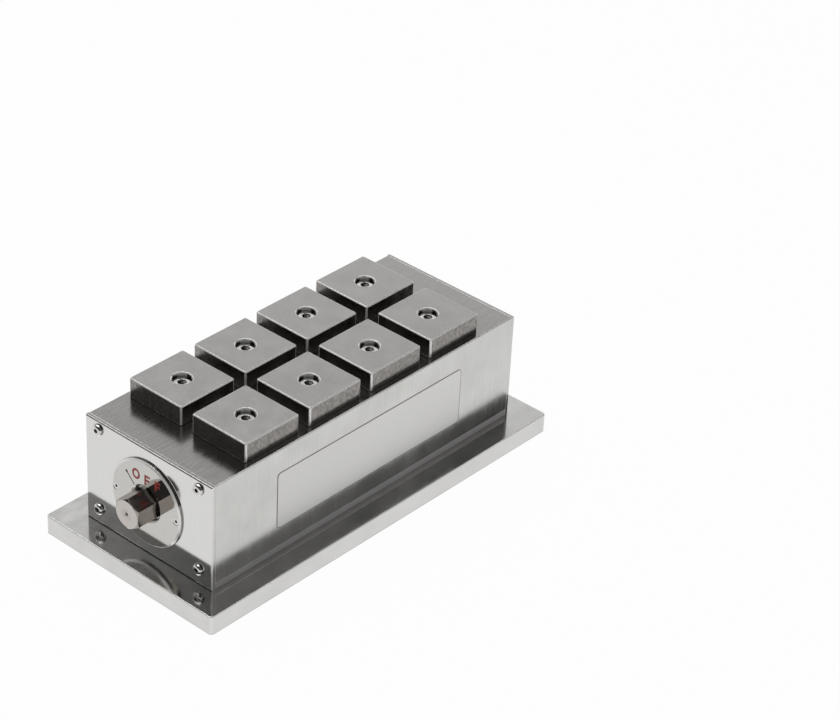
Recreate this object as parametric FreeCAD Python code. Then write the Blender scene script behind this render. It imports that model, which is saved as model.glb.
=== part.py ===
import FreeCAD, Part
import math
import os

from FreeCAD import Placement, Rotation, Vector

# Switchable permanent-magnet chuck with eight screwed-on square pole blocks.
# Millimetres. X runs along the body with the drive end at -X, Z is up, and the
# origin is the centre of the base plate's underside. Angles about the rotor's
# axis are degrees about +X, from +Y towards +Z.

# --- Base plate and body -------------------------------------------------------
body_length = 300.0               # over both end covers
body_width = 120.0
housing_height = 78.0
bottom_plate_thickness = 5.0      # closes the rotor chamber from below
cover_thickness = 3.0
base_thickness = 15.0
base_margin = 20.0                # clamping ledge all round the body
base_corner_radius = 3.0
base_edge_break = 0.5
ground_edge_break = 0.8           # broken edges of the housing and covers

# --- Pole blocks and their cores -----------------------------------------------
pole_rows = 2
pole_columns = 4
pole_side = 50.0
pole_height = 15.0
pole_corner_radius = 1.8
pole_edge_break = 0.7
pole_foot_break = 0.4
core_diameter = 36.0
core_flange_diameter = 40.0       # holds the core under the top wall
core_flange_thickness = 4.0
core_screw_floor = 1.0            # core left under its tapped hole

# --- Rotor chamber -------------------------------------------------------------
side_wall = 9.0
end_wall = 12.0
rotor_diameter = 48.0
air_gap = 0.5                     # rotor to pole shoes
separator_thickness = 3.0         # over the rotor's crown
separator_width = 16.0            # keeps the two pole shoes apart
magnet_thickness = 16.0
magnet_edge_inset = 0.6           # magnet corners inside the rotor's round
magnet_count = 4
magnet_gap = 0.2

# --- Rotor ends, bearings and stop ---------------------------------------------
rotor_flange_thickness = 10.0
journal_diameter = 25.0
tail_diameter = 20.0
tail_end_gap = 0.5                # tail journal to the rear cover
bearing_shoulder = 2.0            # bearing's outer radius past the rotor
running_clearance = 0.05          # radial, journals in their bearings
seat_clearance = 0.05             # radial, fixed round pieces in their seats
washer_thickness = 1.5
washer_rim = 3.5                  # radial width past the drive journal
end_play = 0.1                    # rotor flange to thrust washer
seal_section = 2.5
stop_pin_diameter = 5.0
stop_pin_seat = 6.0               # pressed depth in the front bearing
stop_slot_wall = 0.7              # flange face between washer and slot
stop_slot_depth = 4.0
stop_clearance = 0.3              # pin to the slot's walls
stop_tip_gap = 0.6                # pin's tip to the slot's floor
stop_pin_angle = 225.0
switch_travel = 90.0              # OFF to ON

# --- Drive hexagon and dial ----------------------------------------------------
hexagon_across_flats = 21.0
hexagon_face_inset = 0.3          # turned end circle inside the flats
hexagon_chamfer_angle = 30.0
hexagon_root_depth = 1.0          # round journal ends inside the cover's face
drive_setback = 0.5               # drive end behind the base plate's edge
centre_drill_diameter = 3.0
centre_drill_angle = 60.0
dial_diameter = 65.0
dial_thickness = 2.5
dial_bevel = 1.2
dial_hole_break = 1.3
shaft_opening_clearance = 0.5     # radial, journal to cover and dial

# --- Screws (named by thread diameter; threads are plain cylinders) ------------
thread_clearance = 0.05           # radial, shank in its tapped hole
tap_runout = 1.0                  # tapped hole past the screw's tip
free_hole_ratio = 1.12            # clearance hole to thread
counterbore_clearance = 0.5       # radial, head in its counterbore
cap_head_ratio = 1.5              # cap head is ratio x thread + allowance
cap_head_allowance = 1.0
cap_head_break_ratio = 0.08       # broken edge of a cap head, to thread
socket_ratio = 0.75               # socket across flats to thread
socket_depth_ratio = 0.5
pole_screw_thread = 8.0
pole_head_recess = 3.0            # head's top below the pole face
counterbore_break = 0.7
cover_screw_thread = 5.0
cover_screw_length = 12.0
button_head_diameter = 8.5
button_head_height = 2.4
button_socket = 3.0
button_socket_depth = 1.5
button_bulge = 0.55               # dome's middle height, to the head's height
cover_screw_inset_y = 12.5        # from the housing's sides
cover_screw_inset_z = 6.8         # from the housing's top and foot
dial_screw_thread = 3.0
dial_screw_length = 8.0
dial_head_diameter = 5.3
dial_head_recess = 0.45
dial_socket = 2.0
dial_socket_depth = 0.9
dial_screw_circle = 57.0
underside_head_recess = 0.5
shoe_screw_thread = 8.0
shoe_screw_grip = 18.5            # thread engaged in the pole shoe
housing_screw_thread = 6.0
housing_screw_grip = 11.5
housing_screw_spacing = 60.0      # across the body
rotor_screw_thread = 5.0
rotor_screw_grip = 11.5
rotor_head_recess = 0.5
rotor_screw_angle = 18.0          # each side of a segment's middle

# --- Derived levels, stations and radii ----------------------------------------
base_length = body_length + 2 * base_margin
base_width = body_width + 2 * base_margin
housing_length = body_length - 2 * cover_thickness
pole_pitch = body_length / (pole_columns + 1)
row_pitch = body_width / pole_rows
housing_foot = base_thickness + bottom_plate_thickness
housing_top = housing_foot + housing_height
pole_top = housing_top + pole_height
axis_height = (base_thickness + housing_top) / 2

rotor_radius = rotor_diameter / 2
shoe_bore_radius = rotor_radius + air_gap
bearing_radius = rotor_radius + bearing_shoulder
journal_radius = journal_diameter / 2
tail_radius = tail_diameter / 2
washer_radius = journal_radius + washer_rim
shaft_opening_radius = journal_radius + shaft_opening_clearance

chamber_top = axis_height + shoe_bore_radius + separator_thickness
chamber_half_length = housing_length / 2 - end_wall
chamber_half_width = body_width / 2 - side_wall
shoe_middle = (separator_width / 2 + chamber_half_width) / 2
rotor_half_length = chamber_half_length - washer_thickness - end_play
segment_half_length = rotor_half_length - rotor_flange_thickness

stop_slot_radius = stop_pin_diameter / 2 + stop_clearance
stop_circle_radius = washer_radius + stop_slot_wall + stop_slot_radius
rotor_screw_radius = (journal_radius + rotor_radius) / 2
dial_screw_radius = dial_screw_circle / 2
drive_end = base_length / 2 - drive_setback
hexagon_root = body_length / 2 - hexagon_root_depth

pole_screw_shoulder = pole_top - pole_head_recess - pole_screw_thread
core_tap_depth = housing_top - chamber_top - core_screw_floor
pole_screw_length = pole_screw_shoulder - housing_top + core_tap_depth - tap_runout

UP = Vector(0, 0, 1)
DOWN = Vector(0, 0, -1)
FRONT = Vector(-1, 0, 0)
REAR = Vector(1, 0, 0)
TOLERANCE = 1e-6


# --- Shapes --------------------------------------------------------------------

def box(x, y, z):
    """Box between two ends on each axis, given in either order."""
    low = Vector(min(x), min(y), min(z))
    high = Vector(max(x), max(y), max(z))
    size = high - low
    return Part.makeBox(size.x, size.y, size.z, low)


def centred_box(length, width, z0, z1):
    """Box centred on the Z axis."""
    return box((-length / 2, length / 2), (-width / 2, width / 2), (z0, z1))


def rod_x(radius, x0, x1):
    """Cylinder on the rotor's axis between two stations."""
    return Part.makeCylinder(radius, abs(x1 - x0), Vector(min(x0, x1), 0, axis_height), REAR)


def drill(radius, mouth, facing, depth):
    """Hole of a radius and depth, whose mouth faces the given way."""
    return Part.makeCylinder(radius, depth, mouth, -facing)


def hexagon(across_flats, z0, z1):
    """Hexagonal prism on the Z axis with its corners on X."""
    corner = across_flats / math.sqrt(3)
    angles = [math.radians(60 * i) for i in range(7)]
    outline = [Vector(corner * math.cos(a), corner * math.sin(a), z0) for a in angles]
    return Part.Face(Part.makePolygon(outline)).extrude(Vector(0, 0, z1 - z0))


def edges_at(shape, axis, value):
    """Edges that lie in the plane axis = value."""
    return [
        edge for edge in shape.Edges
        if all(abs(getattr(v.Point, axis) - value) < TOLERANCE for v in edge.Vertexes)
    ]


def on_circle(x, radius, angle):
    """Point at an angle round the rotor's axis."""
    a = math.radians(angle)
    return Vector(x, radius * math.cos(a), axis_height + radius * math.sin(a))


def placed(shape, position, facing):
    """Copy of a screw, its shoulder at the position and its head facing the given way."""
    copy = shape.copy()
    copy.Placement = Placement(position, Rotation(UP, facing))
    return copy


# --- Screw holes ---------------------------------------------------------------

def tapped_radius(thread):
    """Radius of a tapped hole."""
    return thread / 2 + thread_clearance


def free_radius(thread):
    """Radius of a clearance hole."""
    return thread * free_hole_ratio / 2


def cap_head_radius(thread):
    """Head radius of a socket-head cap screw."""
    return (cap_head_ratio * thread + cap_head_allowance) / 2


def counterbored(thread, shoulder, facing, head_room, shank_room):
    """Clearance hole and counterbore for a cap screw with its shoulder at a point."""
    well_radius = cap_head_radius(thread) + counterbore_clearance
    well = drill(well_radius, shoulder + facing * head_room, facing, head_room)
    return well.fuse(drill(free_radius(thread), shoulder, facing, shank_room))


# --- Screws: head up, shoulder at the origin -----------------------------------

def cap_screw(thread, length):
    """Socket-head cap screw."""
    head = Part.makeCylinder(cap_head_radius(thread), thread)
    head = head.makeChamfer(thread * cap_head_break_ratio, edges_at(head, "z", thread)[:1])
    shank = drill(thread / 2, Vector(), UP, length)
    socket = hexagon(thread * socket_ratio, thread * (1 - socket_depth_ratio), thread)
    return head.fuse(shank).cut(socket).removeSplitter()


def button_screw():
    """Button-head screw with a domed crown."""
    rim = Vector(button_head_diameter / 2, 0, 0)
    crown = Vector(button_socket / math.sqrt(3), 0, button_head_height)
    middle = Vector((rim.x + crown.x) / 2, 0, 0)
    middle.x += (rim.x - crown.x) * (button_bulge / 2)
    middle.z = button_head_height * (0.5 + button_bulge / 2)
    dome = Part.Arc(rim, middle, crown).toShape()
    axis_top = Vector(0, 0, button_head_height)
    rest = Part.makePolygon([crown, axis_top, Vector(), rim])
    head = Part.Face(Part.Wire([dome] + rest.Edges)).revolve(Vector(), UP, 360)
    shank = drill(cover_screw_thread / 2, Vector(), UP, cover_screw_length)
    socket = hexagon(button_socket, button_head_height - button_socket_depth, button_head_height)
    return head.fuse(shank).cut(socket).removeSplitter()


def countersunk_screw():
    """Countersunk dial screw; its origin is the head's flat top."""
    head_height = (dial_head_diameter - dial_screw_thread) / 2
    head = Part.makeCone(dial_head_diameter / 2, dial_screw_thread / 2, head_height, Vector(), DOWN)
    shank = drill(dial_screw_thread / 2, Vector(), UP, dial_screw_length)
    socket = hexagon(dial_socket, -dial_socket_depth, 0)
    return head.fuse(shank).cut(socket).removeSplitter()


# --- Where the repeated pieces sit ---------------------------------------------

def pole_places():
    """Name and foot centre of each pole; row r at -Y, row l at +Y, column 1 at the drive end."""
    places = {}
    for row, side in enumerate("rl"[:pole_rows]):
        for column in range(pole_columns):
            x = (column - (pole_columns - 1) / 2) * pole_pitch
            y = (row - (pole_rows - 1) / 2) * row_pitch
            places[f"{side}{column + 1}"] = Vector(x, y, housing_top)
    return places


def cover_screw_places(x):
    """Corners of the cover's screw pattern."""
    y = body_width / 2 - cover_screw_inset_y
    low = housing_foot + cover_screw_inset_z
    high = housing_top - cover_screw_inset_z
    return [Vector(x, side * y, z) for side in (-1, 1) for z in (low, high)]


def dial_screw_places(x):
    """Dial screws on either side of the drive."""
    return [on_circle(x, dial_screw_radius, angle) for angle in (0, 180)]


def shoe_screw_places(z):
    """One screw under each pole, in the middle of its pole shoe."""
    return [Vector(p.x, math.copysign(shoe_middle, p.y), z) for p in pole_places().values()]


def housing_screw_places(z):
    """Screws into the undersides of the end walls."""
    x = housing_length / 2 - end_wall / 2
    y = housing_screw_spacing / 2
    return [Vector(sx * x, sy * y, z) for sx in (-1, 1) for sy in (-1, 1)]


def rotor_screw_places(x):
    """Two screws into each rotor segment."""
    angles = [middle + side * rotor_screw_angle for middle in (90, 270) for side in (-1, 1)]
    return [on_circle(x, rotor_screw_radius, angle) for angle in angles]


# --- Base, body and covers -----------------------------------------------------

def underside_screws():
    """Thread, grip and shoulder places of the two sets that come up through the base."""
    sets = {}
    for name, thread, grip, places in (
        ("shoe_screws", shoe_screw_thread, shoe_screw_grip, shoe_screw_places),
        ("housing_screws", housing_screw_thread, housing_screw_grip, housing_screw_places),
    ):
        sets[name] = (thread, grip, places(underside_head_recess + thread))
    return sets


def base_plate():
    """Flanged plate with counterbored screw holes from below."""
    plate = centred_box(base_length, base_width, 0, base_thickness)
    upright = [e for e in plate.Edges if abs(e.tangentAt(e.FirstParameter).z) > 0.5]
    plate = plate.makeFillet(base_corner_radius, upright)
    for level in (0, base_thickness):
        plate = plate.makeChamfer(base_edge_break, edges_at(plate, "z", level))
    holes = []
    for thread, _, shoulders in underside_screws().values():
        for shoulder in shoulders:
            holes.append(counterbored(thread, shoulder, DOWN, shoulder.z, base_thickness))
    return plate.cut(holes)


def bottom_plate():
    """Plate that closes the rotor chamber from below."""
    plate = centred_box(housing_length, body_width, base_thickness, housing_foot)
    holes = []
    for thread, _, shoulders in underside_screws().values():
        for shoulder in shoulders:
            mouth = Vector(shoulder.x, shoulder.y, base_thickness)
            holes.append(drill(free_radius(thread), mouth, DOWN, bottom_plate_thickness))
    return plate.cut(holes)


def housing():
    """Block with the rotor chamber milled from below, bored ends and eight pole windows."""
    block = centred_box(housing_length, body_width, housing_foot, housing_top)
    top_edges = [e for e in edges_at(block, "z", housing_top) if abs(e.tangentAt(0).x) > 0.5]
    block = block.makeChamfer(ground_edge_break, top_edges)
    cuts = [centred_box(2 * chamber_half_length, 2 * chamber_half_width, housing_foot, chamber_top)]
    for place in pole_places().values():
        depth = housing_top - chamber_top
        seat = Vector(place.x, place.y, chamber_top + core_flange_thickness)
        cuts.append(drill(core_diameter / 2 + seat_clearance, place, UP, depth))
        cuts.append(drill(core_flange_diameter / 2 + seat_clearance, seat, UP, core_flange_thickness))
    for facing in (FRONT, REAR):
        end = facing.x * housing_length / 2
        cuts.append(rod_x(bearing_radius + seat_clearance, end, facing.x * chamber_half_length))
        cover_tap = cover_screw_length - cover_thickness + tap_runout
        for mouth in cover_screw_places(end):
            cuts.append(drill(tapped_radius(cover_screw_thread), mouth, facing, cover_tap))
    dial_tap = dial_screw_length + dial_head_recess - dial_thickness - cover_thickness + tap_runout
    for mouth in dial_screw_places(-housing_length / 2):
        cuts.append(drill(tapped_radius(dial_screw_thread), mouth, FRONT, dial_tap))
    for mouth in housing_screw_places(housing_foot):
        cuts.append(drill(tapped_radius(housing_screw_thread), mouth, DOWN, housing_screw_grip + tap_runout))
    return block.cut(cuts)


def end_cover(facing):
    """Ground end plate over the full height of the body."""
    outer = facing.x * body_length / 2
    inner = facing.x * housing_length / 2
    plate = box((inner, outer), (-body_width / 2, body_width / 2), (base_thickness, housing_top))
    plate = plate.makeChamfer(ground_edge_break, edges_at(plate, "x", outer))
    holes = [
        drill(free_radius(cover_screw_thread), mouth, facing, cover_thickness)
        for mouth in cover_screw_places(outer)
    ]
    return plate.cut(holes)


def front_cover():
    """End plate with the opening for the drive and the dial's screw holes."""
    front = -body_length / 2
    holes = [rod_x(shaft_opening_radius, front, front + cover_thickness)]
    for mouth in dial_screw_places(front):
        holes.append(drill(free_radius(dial_screw_thread), mouth, FRONT, cover_thickness))
    return end_cover(FRONT).cut(holes)


def dial_plate():
    """Round dial with a bevelled rim and two countersunk holes."""
    back = -body_length / 2
    front = back - dial_thickness
    disc = rod_x(dial_diameter / 2, front, back)
    disc = disc.makeChamfer(dial_bevel, edges_at(disc, "x", front)[:1])
    mouth_radius = shaft_opening_radius + dial_hole_break
    centre = Vector(front, 0, axis_height)
    cuts = [
        rod_x(shaft_opening_radius, front, back),
        Part.makeCone(mouth_radius, shaft_opening_radius, dial_hole_break, centre, REAR),
    ]
    sink_radius = dial_head_diameter / 2 + dial_head_recess
    sink_depth = sink_radius - dial_screw_thread / 2
    for mouth in dial_screw_places(front):
        cuts.append(Part.makeCone(sink_radius, dial_screw_thread / 2, sink_depth, mouth, REAR))
        cuts.append(drill(free_radius(dial_screw_thread), mouth, FRONT, dial_thickness))
    return disc.cut(cuts)


# --- Poles ---------------------------------------------------------------------

def pole_block():
    """Square pole piece with rounded corners and a counterbore, foot centre at the origin."""
    half = pole_side / 2
    block = box((-half, half), (-half, half), (0, pole_height))
    upright = [e for e in block.Edges if abs(e.tangentAt(e.FirstParameter).z) > 0.5]
    block = block.makeFillet(pole_corner_radius, upright)
    block = block.makeChamfer(pole_edge_break, edges_at(block, "z", pole_height))
    block = block.makeChamfer(pole_foot_break, edges_at(block, "z", 0))
    shoulder = Vector(0, 0, pole_screw_shoulder - housing_top)
    head_room = pole_height - shoulder.z
    hole = counterbored(pole_screw_thread, shoulder, UP, head_room, shoulder.z)
    well_radius = cap_head_radius(pole_screw_thread) + counterbore_clearance
    mouth = Vector(0, 0, pole_height - counterbore_break)
    lead_in = Part.makeCone(well_radius, well_radius + counterbore_break, counterbore_break, mouth, UP)
    return block.cut([hole, lead_in])


def pole_core():
    """Flanged iron plug that fills a pole window, top centre at the origin."""
    length = housing_top - chamber_top
    plug = drill(core_diameter / 2, Vector(), UP, length)
    flange_top = Vector(0, 0, core_flange_thickness - length)
    plug = plug.fuse(drill(core_flange_diameter / 2, flange_top, UP, core_flange_thickness))
    return plug.cut(drill(tapped_radius(pole_screw_thread), Vector(), UP, core_tap_depth)).removeSplitter()


def pole_shoe(side):
    """Iron bar beside the rotor that feeds one row of poles."""
    width = (side * separator_width / 2, side * chamber_half_width)
    bar = box((-chamber_half_length, chamber_half_length), width, (housing_foot, chamber_top))
    cuts = [rod_x(shoe_bore_radius, -chamber_half_length, chamber_half_length)]
    for mouth in shoe_screw_places(housing_foot):
        if mouth.y * side > 0:
            cuts.append(drill(tapped_radius(shoe_screw_thread), mouth, DOWN, shoe_screw_grip + tap_runout))
    return bar.cut(cuts)


def separator(level):
    """Non-magnetic bar between the pole shoes, hollowed to the rotor, at the chamber's top or foot."""
    half = separator_width / 2
    bar = box((-chamber_half_length, chamber_half_length), (-half, half), (axis_height, level))
    return bar.cut(rod_x(shoe_bore_radius, -chamber_half_length, chamber_half_length))


# --- Bearings, seal, washers and stop pin --------------------------------------

def bearing(facing, shaft_radius):
    """Bronze disc that fills an end wall's bore and carries a journal."""
    inner = facing.x * chamber_half_length
    outer = facing.x * housing_length / 2
    return rod_x(bearing_radius, inner, outer).cut(rod_x(shaft_radius + running_clearance, inner, outer))


def front_bearing():
    """Bearing of the drive journal, with the seal's recess and the stop pin's seat."""
    outer = -housing_length / 2
    seal_seat = rod_x(seal_outer_radius() + seat_clearance, outer, outer + seal_section)
    pin_mouth = on_circle(-chamber_half_length, stop_circle_radius, stop_pin_angle)
    pin_seat = drill(stop_pin_diameter / 2 + thread_clearance, pin_mouth, REAR, stop_pin_seat)
    return bearing(FRONT, journal_radius).cut([seal_seat, pin_seat])


def seal_outer_radius():
    """Outer radius of the shaft seal."""
    return journal_radius + running_clearance + seal_section


def shaft_seal():
    """Seal ring between the front bearing and the cover."""
    outer = -housing_length / 2
    inner = outer + seal_section
    hole = rod_x(journal_radius + running_clearance, outer, inner)
    return rod_x(seal_outer_radius(), outer, inner).cut(hole)


def thrust_washer(facing, shaft_radius):
    """Washer between a bearing and the rotor's end."""
    seat = facing.x * chamber_half_length
    face = seat - facing.x * washer_thickness
    return rod_x(washer_radius, seat, face).cut(rod_x(shaft_radius + stop_clearance, seat, face))


def stop_pin():
    """Pin that ends the rotor's quarter turn."""
    tip = -(rotor_half_length - stop_slot_depth + stop_tip_gap)
    root = -(chamber_half_length + stop_pin_seat)
    mouth = on_circle(tip, stop_circle_radius, stop_pin_angle)
    return drill(stop_pin_diameter / 2, mouth, REAR, tip - root)


# --- Rotor ---------------------------------------------------------------------

def stop_slot():
    """Round-ended arc slot in the drive flange, a quarter turn between the pin's end stations."""
    face = -rotor_half_length
    first = stop_pin_angle - switch_travel
    middle = stop_pin_angle - switch_travel / 2
    inner = stop_circle_radius - stop_slot_radius
    outer = stop_circle_radius + stop_slot_radius

    def track(radius, start, end):
        points = [on_circle(face, radius, angle) for angle in (start, middle, end)]
        return Part.Arc(*points).toShape()

    def cap(angle, outward):
        a = math.radians(angle)
        along = Vector(0, -math.sin(a), math.cos(a)) * (outward * stop_slot_radius)
        far = on_circle(face, stop_circle_radius, angle) + along
        return Part.Arc(on_circle(face, outer, angle), far, on_circle(face, inner, angle)).toShape()

    edges = [
        track(outer, first, stop_pin_angle),
        cap(stop_pin_angle, 1),
        track(inner, stop_pin_angle, first),
        cap(first, -1),
    ]
    return Part.Face(Part.Wire(Part.sortEdges(edges)[0])).extrude(REAR * stop_slot_depth)


def flange_holes(facing):
    """Counterbored holes for the screws that hold a rotor end to the segments."""
    face = facing.x * rotor_half_length
    head_room = rotor_screw_thread + rotor_head_recess
    shoulder = face - facing.x * head_room
    return [
        counterbored(rotor_screw_thread, place, facing, head_room, rotor_flange_thickness - head_room)
        for place in rotor_screw_places(shoulder)
    ]


def drive_hexagon():
    """Hexagon with a chamfered, centre-drilled end."""
    length = drive_end - hexagon_root
    corner = hexagon_across_flats / math.sqrt(3)
    face_radius = hexagon_across_flats / 2 - hexagon_face_inset
    slope = math.tan(math.radians(hexagon_chamfer_angle))
    chamfer = (corner - face_radius) * slope
    turned = Part.makeCylinder(corner, length - chamfer)
    turned = turned.fuse(Part.makeCone(corner, face_radius, chamfer, Vector(0, 0, length - chamfer)))
    drill_radius = centre_drill_diameter / 2
    drill_depth = drill_radius / math.tan(math.radians(centre_drill_angle / 2))
    centre = Part.makeCone(drill_radius, 0, drill_depth, Vector(0, 0, length), DOWN)
    bar = hexagon(hexagon_across_flats, 0, length).common(turned).cut(centre)
    return placed(bar, Vector(-hexagon_root, 0, axis_height), FRONT)


def drive_shaft():
    """Front rotor end: flange, journal and the hexagon for the wrench."""
    flange = rod_x(rotor_radius, -rotor_half_length, -segment_half_length)
    journal = rod_x(journal_radius, -hexagon_root, -rotor_half_length)
    shaft = flange.fuse([journal, drive_hexagon()]).removeSplitter()
    return shaft.cut([stop_slot()] + flange_holes(FRONT))


def tail_shaft():
    """Rear rotor end: flange and plain journal."""
    flange = rod_x(rotor_radius, segment_half_length, rotor_half_length)
    journal = rod_x(tail_radius, rotor_half_length, housing_length / 2 - tail_end_gap)
    return flange.fuse(journal).removeSplitter().cut(flange_holes(REAR))


def rotor_segment(side):
    """Iron segment above or below the magnets, tapped at both ends."""
    round_bar = rod_x(rotor_radius, -segment_half_length, segment_half_length)
    flat = axis_height + side * magnet_thickness / 2
    reach = (-rotor_radius, rotor_radius)
    half = box((-segment_half_length, segment_half_length), reach, (flat, axis_height + side * rotor_diameter))
    cuts = []
    for facing in (FRONT, REAR):
        for mouth in rotor_screw_places(facing.x * segment_half_length):
            if (mouth.z - axis_height) * side > 0:
                depth = rotor_screw_grip + tap_runout
                cuts.append(drill(tapped_radius(rotor_screw_thread), mouth, facing, depth))
    return round_bar.common(half).cut(cuts)


def rotor_magnet(index):
    """Flat magnet across the rotor, magnetised through its thickness."""
    pitch = 2 * segment_half_length / magnet_count
    start = -segment_half_length + index * pitch
    half_thickness = magnet_thickness / 2
    half_width = math.sqrt(rotor_radius ** 2 - half_thickness ** 2) - magnet_edge_inset
    level = (axis_height - half_thickness, axis_height + half_thickness)
    return box((start + magnet_gap / 2, start + pitch - magnet_gap / 2), (-half_width, half_width), level)


# --- Screw groups --------------------------------------------------------------

def screw_group(screw, shoulders, facing):
    """One node of identical screws, each its own solid."""
    return Part.makeCompound([placed(screw, shoulder, facing) for shoulder in shoulders])


def underside_group(name):
    """Cap screws that come up through the base and bottom plates."""
    thread, grip, shoulders = underside_screws()[name]
    length = housing_foot - shoulders[0].z + grip
    return screw_group(cap_screw(thread, length), shoulders, DOWN)


def pole_screws():
    """One cap screw down each pole block into its core."""
    rise = Vector(0, 0, pole_screw_shoulder - housing_top)
    shoulders = [place + rise for place in pole_places().values()]
    return screw_group(cap_screw(pole_screw_thread, pole_screw_length), shoulders, UP)


def cover_screws(facing):
    """Button-head screws in an end cover's corners."""
    return screw_group(button_screw(), cover_screw_places(facing.x * body_length / 2), facing)


def dial_screws():
    """Countersunk screws of the dial."""
    face = -body_length / 2 - dial_thickness + dial_head_recess
    return screw_group(countersunk_screw(), dial_screw_places(face), FRONT)


def rotor_screws(facing):
    """Screws that join a rotor end to the segments."""
    head_room = rotor_screw_thread + rotor_head_recess
    shoulder = facing.x * (rotor_half_length - head_room)
    length = rotor_flange_thickness - head_room + rotor_screw_grip
    return screw_group(cap_screw(rotor_screw_thread, length), rotor_screw_places(shoulder), facing)


# --- The chuck -----------------------------------------------------------------

def nodes():
    """Every sub-part by its node name."""
    parts = {
        "base_plate": base_plate(),
        "bottom_plate": bottom_plate(),
        "housing": housing(),
        "front_cover": front_cover(),
        "rear_cover": end_cover(REAR),
        "dial_plate": dial_plate(),
        "front_cover_screws": cover_screws(FRONT),
        "rear_cover_screws": cover_screws(REAR),
        "dial_screws": dial_screws(),
        "pole_screws": pole_screws(),
        "shoe_screws": underside_group("shoe_screws"),
        "housing_screws": underside_group("housing_screws"),
        "pole_shoe_left": pole_shoe(1),
        "pole_shoe_right": pole_shoe(-1),
        "separator_upper": separator(chamber_top),
        "separator_lower": separator(housing_foot),
        "front_bearing": front_bearing(),
        "rear_bearing": bearing(REAR, tail_radius),
        "shaft_seal": shaft_seal(),
        "front_thrust_washer": thrust_washer(FRONT, journal_radius),
        "rear_thrust_washer": thrust_washer(REAR, tail_radius),
        "stop_pin": stop_pin(),
        "drive_shaft": drive_shaft(),
        "tail_shaft": tail_shaft(),
        "rotor_segment_upper": rotor_segment(1),
        "rotor_segment_lower": rotor_segment(-1),
        "rotor_screws_front": rotor_screws(FRONT),
        "rotor_screws_rear": rotor_screws(REAR),
    }
    for name, place in pole_places().items():
        parts[f"pole_block_{name}"] = pole_block().translated(place)
        parts[f"pole_core_{name}"] = pole_core().translated(place)
    for index in range(magnet_count):
        parts[f"rotor_magnet_{index + 1}"] = rotor_magnet(index)
    return parts


os.makedirs("parts", exist_ok=True)
for node_name, node_shape in nodes().items():
    node_shape.exportStep(f"parts/{node_name}.step")
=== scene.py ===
import math

import bmesh
import bpy
from bpy.props import FloatProperty, FloatVectorProperty, PointerProperty
from mathutils import Matrix, Vector


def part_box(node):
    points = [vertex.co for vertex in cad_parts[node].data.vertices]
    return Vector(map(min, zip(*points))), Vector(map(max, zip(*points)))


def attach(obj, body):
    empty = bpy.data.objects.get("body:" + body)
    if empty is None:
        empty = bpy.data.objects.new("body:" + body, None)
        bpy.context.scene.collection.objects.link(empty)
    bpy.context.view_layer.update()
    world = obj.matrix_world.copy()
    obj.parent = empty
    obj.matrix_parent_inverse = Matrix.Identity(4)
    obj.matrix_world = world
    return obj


bl_info = {
    "name": "Magnetic Chuck Finishes",
    "version": (1, 0, 0),
    "blender": (4, 5, 0),
    "location": "View3D > Sidebar > Chuck",
    "description": "Ground steel finishes, dial marks, side plate and studio for a magnetic chuck",
    "category": "Object",
}

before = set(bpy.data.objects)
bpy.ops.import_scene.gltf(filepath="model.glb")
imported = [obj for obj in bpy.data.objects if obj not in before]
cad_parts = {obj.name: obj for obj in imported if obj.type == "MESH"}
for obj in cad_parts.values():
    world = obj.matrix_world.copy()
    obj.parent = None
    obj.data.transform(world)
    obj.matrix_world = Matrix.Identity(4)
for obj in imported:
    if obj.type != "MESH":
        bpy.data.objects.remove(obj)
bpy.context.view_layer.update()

CHUCK = "chuck"
MM = 0.001
DIAL_LOW, DIAL_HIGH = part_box("dial_plate")
HOUSING_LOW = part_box("housing")[0]
AXIS_HEIGHT = (DIAL_LOW.z + DIAL_HIGH.z) / 2

NOISE_LOW, NOISE_HIGH = 0.3, 0.7  # where nearly all values of a noise lie
RAY_SAMPLES = 6  # rays of each edge or shelter test
FLOOR_REACH = 12.0  # half the floor's width, in metres


# --- Sizes and colours a user would change -------------------------------------

def colour_property(name, description, default):
    """Colour swatch property."""
    return FloatVectorProperty(
        name=name, description=description, default=default, subtype="COLOR", size=3, min=0, max=1
    )


def length_property(name, description, default):
    """Length property in metres."""
    return FloatProperty(
        name=name, description=description, default=default, unit="LENGTH", min=0, precision=5
    )


def angle_property(name, description, degrees):
    """Angle property, given in degrees."""
    return FloatProperty(
        name=name, description=description, default=math.radians(degrees), subtype="ANGLE"
    )


def level_property(name, description, default, **settings):
    """Brightness, power or share, from zero up."""
    return FloatProperty(name=name, description=description, default=default, min=0, **settings)


class ChuckFinishes(bpy.types.PropertyGroup):
    """Colours of the metals."""

    ground_steel: colour_property("Ground steel", "Long sides of the housing", (0.57, 0.565, 0.55))
    cover_steel: colour_property("Cover steel", "Finely ground end covers", (0.66, 0.655, 0.645))
    top_steel: colour_property("Top plate", "Satin top of the housing", (0.285, 0.277, 0.268))
    base_steel: colour_property("Base steel", "Flanged base plate", (0.62, 0.615, 0.605))
    strip_steel: colour_property("Strip steel", "Bottom plate's edge", (0.4, 0.39, 0.39))
    pole_top: colour_property("Pole faces", "Ground tops of the pole blocks", (0.285, 0.278, 0.27))
    pole_side: colour_property("Pole sides", "Darker sides of the pole blocks", (0.24, 0.228, 0.215))
    dial_metal: colour_property("Dial metal", "Polished dial", (0.53, 0.52, 0.495))
    shaft_steel: colour_property("Shaft steel", "Drive hexagon", (0.34, 0.305, 0.28))
    shaft_end: colour_property("Shaft end", "Turned end of the drive hexagon", (0.5, 0.47, 0.445))
    screw_steel: colour_property("Screw steel", "Bright screws", (0.6, 0.595, 0.585))
    # Pale colour painted on the edges as a highlight
    worn_edge: colour_property("Broken edges", "Bright broken edges", (0.9, 0.895, 0.88))


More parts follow.
